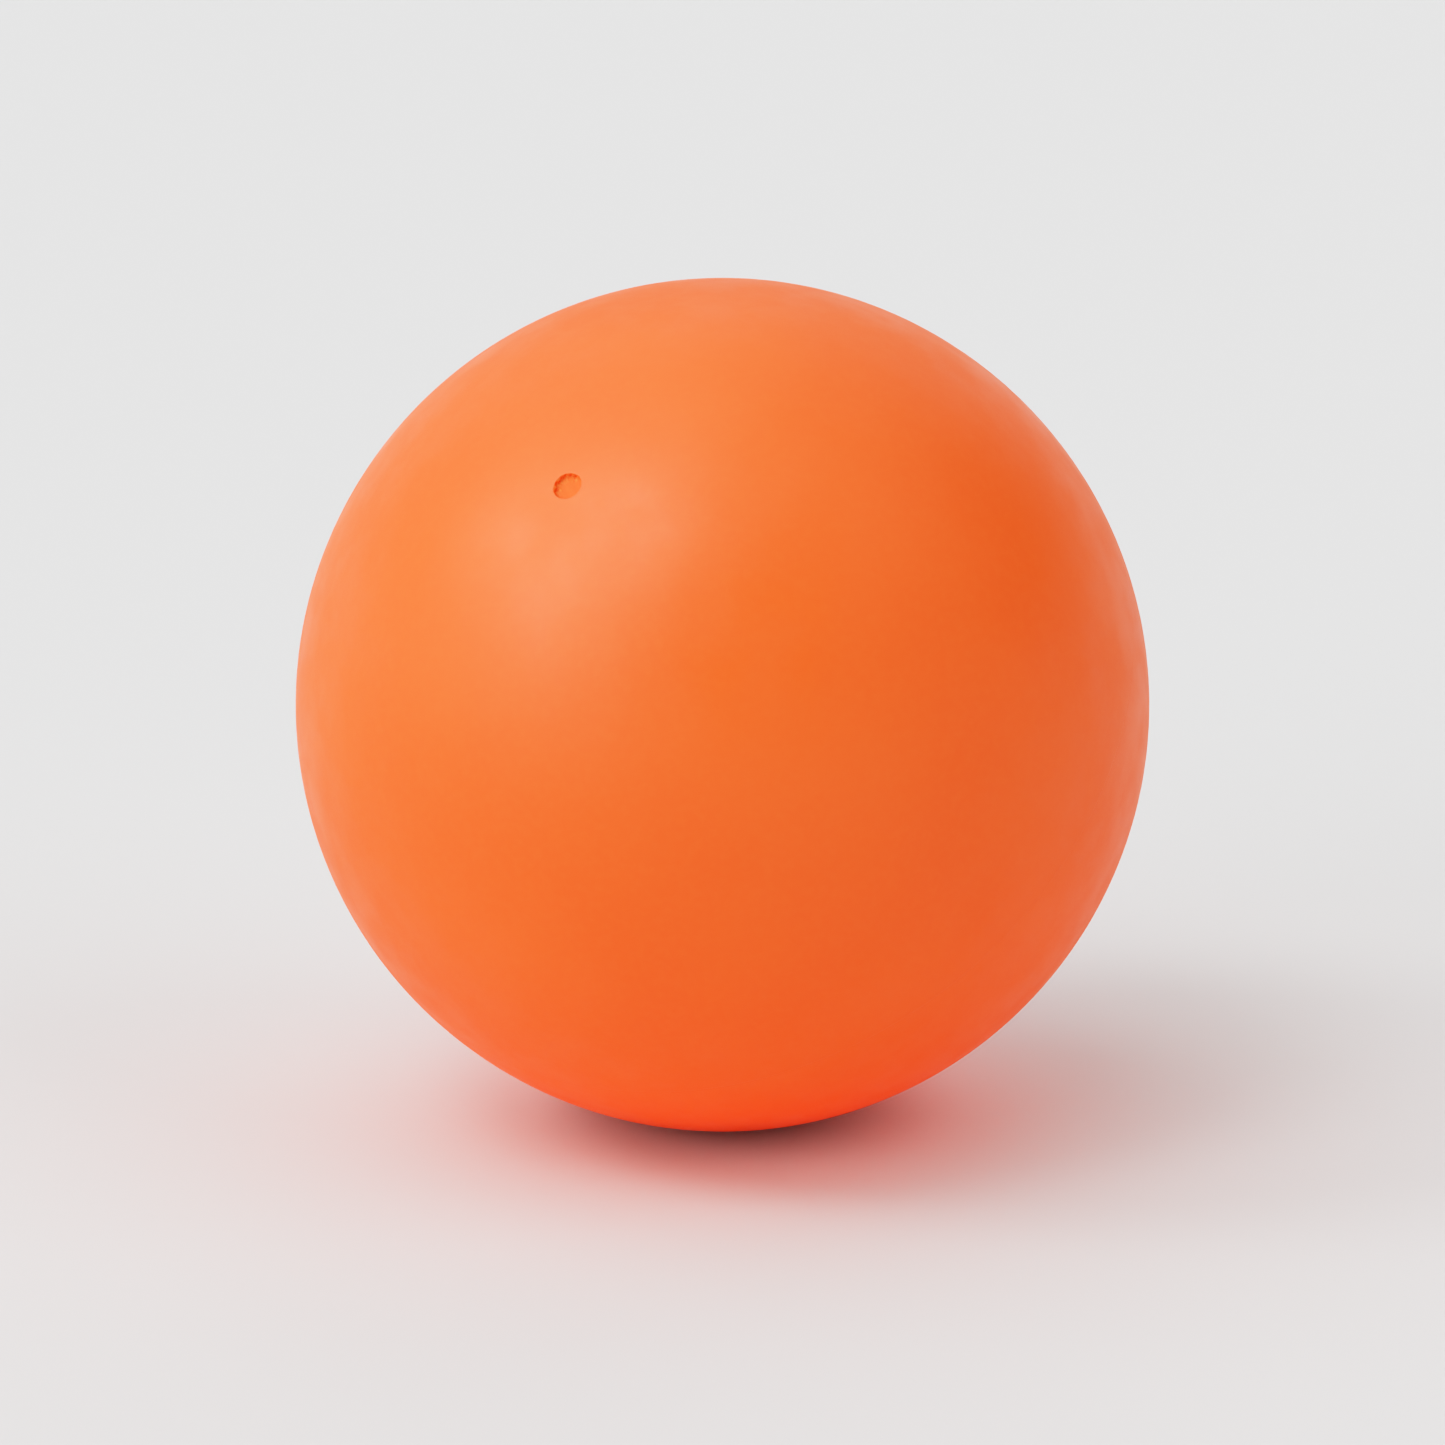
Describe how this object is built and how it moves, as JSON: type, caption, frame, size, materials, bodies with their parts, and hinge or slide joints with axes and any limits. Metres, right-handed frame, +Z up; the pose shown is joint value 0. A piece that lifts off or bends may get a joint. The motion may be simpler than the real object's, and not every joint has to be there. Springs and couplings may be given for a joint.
{
  "type": "table tennis ball",
  "caption": "Hollow orange table tennis ball made of cemented half shells with a lap joint, and a small gate recess at each pole.",
  "frame": {"origin": "centre of the ball", "axes": "+Z up as the ball lies; the axis through the two poles lies in the YZ plane and leans from +Z towards -Y by 48.6 degrees"},
  "size_m": [0.04, 0.04, 0.04],
  "materials": {
    "shell_plastic": "satin",
    "seam_cement": "gloss"
  },
  "bodies": {
    "root": {"upper_half_shell": "shell_plastic", "lower_half_shell": "shell_plastic", "seam_cement_ring": "seam_cement"}
  },
  "joints": []
}
